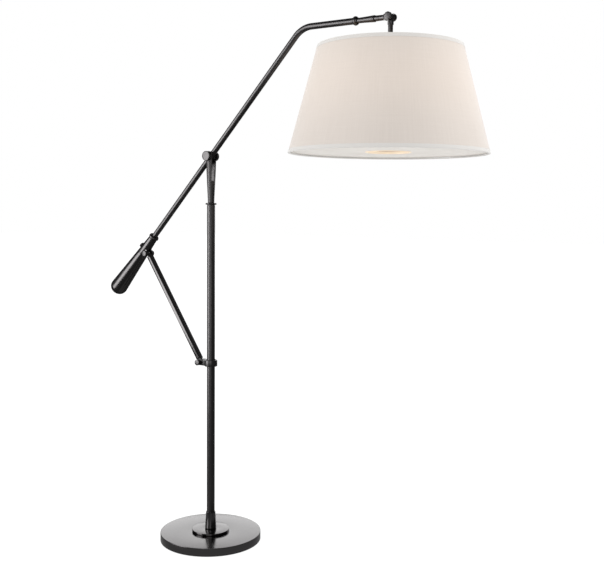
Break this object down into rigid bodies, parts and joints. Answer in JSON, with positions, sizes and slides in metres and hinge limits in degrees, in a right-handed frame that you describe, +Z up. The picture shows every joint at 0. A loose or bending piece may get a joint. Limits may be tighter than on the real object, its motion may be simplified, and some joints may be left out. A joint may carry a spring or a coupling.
{
  "type": "adjustable arm floor lamp",
  "caption": "Balanced-arm floor lamp: round stepped base, slim pole, pivoting arm with bullet counterweight and strut to a sliding collar, tapered drum shade.",
  "frame": {"origin": "centre of the base's underside, on the floor", "axes": "+Z up along the pole, +X the way the arm reaches out to the shade, +Y along every tilting joint's axle, away from the clamp knobs"},
  "size_m": [1.4664, 0.612, 1.768],
  "materials": {
    "dark_bronze": "satin oil-rubbed bronze paint over steel",
    "zinc_steel": "plain zinc-plated steel",
    "nylon": "matt black nylon",
    "cable_sheath": "matt black cable sheath",
    "felt": "black pressed felt",
    "rubber": "matt black rubber",
    "linen": "off-white woven linen, backed and lit from within",
    "trim_tape": "off-white woven tape",
    "opal_acrylic": "opal acrylic sheet",
    "ring_lacquer": "pale champagne lacquer",
    "socket_brass": "lacquered brass",
    "black_plastic": "black moulded plastic",
    "bulb_cap_metal": "nickelled brass screw cap",
    "bulb_glass": "frosted opal bulb"
  },
  "bodies": {
    "stand": {"foot_pad": "felt", "base_plate": "dark_bronze", "base_step": "dark_bronze", "base_washer": "zinc_steel", "base_nut": "zinc_steel", "pole_stud": "zinc_steel", "pole_plug": "zinc_steel", "pole_ferrule": "dark_bronze", "pole_tube": "dark_bronze", "swivel_bush": "nylon", "pole_top_ring": "dark_bronze", "cord_gland": "rubber", "pole_cable": "cable_sheath"},
    "swivel": {"fork": "dark_bronze", "pivot_axle": "zinc_steel", "pivot_washer_near": "nylon", "pivot_washer_far": "nylon", "pivot_cap": "dark_bronze"},
    "pivot_knob": {"pivot_knob": "dark_bronze"},
    "arm": {"arm_tube": "dark_bronze", "arm_hub_bush": "zinc_steel", "arm_ring": "dark_bronze", "arm_neck": "dark_bronze", "end_fork": "dark_bronze", "end_pin": "zinc_steel", "end_cap": "dark_bronze", "arm_cable": "cable_sheath", "sleeve_ring": "dark_bronze", "weight_sleeve": "dark_bronze", "counterweight": "dark_bronze", "upper_strut_pin": "zinc_steel", "upper_strut_cap": "dark_bronze", "upper_strut_nut": "dark_bronze"},
    "end_knob": {"end_knob": "dark_bronze"},
    "sleeve_screw": {"sleeve_screw": "dark_bronze"},
    "strut": {"strut_bar": "dark_bronze"},
    "collar": {"pole_collar": "dark_bronze", "collar_liner": "nylon", "lower_strut_pin": "zinc_steel", "lower_strut_cap": "dark_bronze", "lower_strut_nut": "dark_bronze"},
    "shade": {"shade_stem": "dark_bronze", "stem_cable": "cable_sheath", "shade_spider": "zinc_steel", "shade_top_hoop": "zinc_steel", "shade_bottom_hoop": "zinc_steel", "shade_fabric": "linen", "shade_top_trim": "trim_tape", "shade_bottom_trim": "trim_tape", "diffuser": "opal_acrylic", "diffuser_ring": "ring_lacquer", "socket_cup": "socket_brass", "socket_shell": "socket_brass", "bulb_cap": "bulb_cap_metal", "bulb_glass": "bulb_glass"},
    "switch_knob": {"switch_knob": "black_plastic"}
  },
  "joints": [
    {"name": "swivel", "type": "hinge", "parent": "stand", "child": "swivel", "pos_m": [0, 0, 1.16], "axis": [0, 0, 1], "range_deg": [-175, 175]},
    {"name": "arm_tilt", "type": "hinge", "parent": "swivel", "child": "arm", "pos_m": [0, 0, 1.356], "axis": [0, -1, 0], "range_deg": [-14, 14]},
    {"name": "strut_pivot", "type": "hinge", "parent": "arm", "child": "strut", "pos_m": [-0.29217, 0, 1.01042], "axis": [0, -1, 0], "range_deg": [-27, 27]},
    {"name": "collar_pivot", "type": "hinge", "parent": "strut", "child": "collar", "pos_m": [-0.043, 0, 0.635], "axis": [0, -1, 0], "range_deg": [-13, 13]},
    {"name": "shade_tilt", "type": "hinge", "parent": "arm", "child": "shade", "pos_m": [0.688, 0, 1.75386], "axis": [0, -1, 0], "range_deg": [-15, 35]},
    {"name": "pivot_knob_turn", "type": "hinge", "parent": "swivel", "child": "pivot_knob", "pos_m": [0, 0, 1.356], "axis": [0, -1, 0], "range_deg": [0, 360]},
    {"name": "end_knob_turn", "type": "hinge", "parent": "arm", "child": "end_knob", "pos_m": [0.688, 0, 1.75386], "axis": [0, -1, 0], "range_deg": [0, 360]},
    {"name": "sleeve_screw_turn", "type": "hinge", "parent": "arm", "child": "sleeve_screw", "pos_m": [-0.30826, 0, 1.02543], "axis": [-0.7314, 0, 0.682], "range_deg": [0, 360]},
    {"name": "switch_turn", "type": "hinge", "parent": "shade", "child": "switch_knob", "pos_m": [0.688, 0, 1.591], "axis": [0, -1, 0], "range_deg": [0, 360]}
  ],
  "couplings": [
    {"joint": "strut_pivot", "follows": "arm_tilt", "ratio": -1.919},
    {"joint": "collar_pivot", "follows": "arm_tilt", "ratio": 0.919}
  ]
}
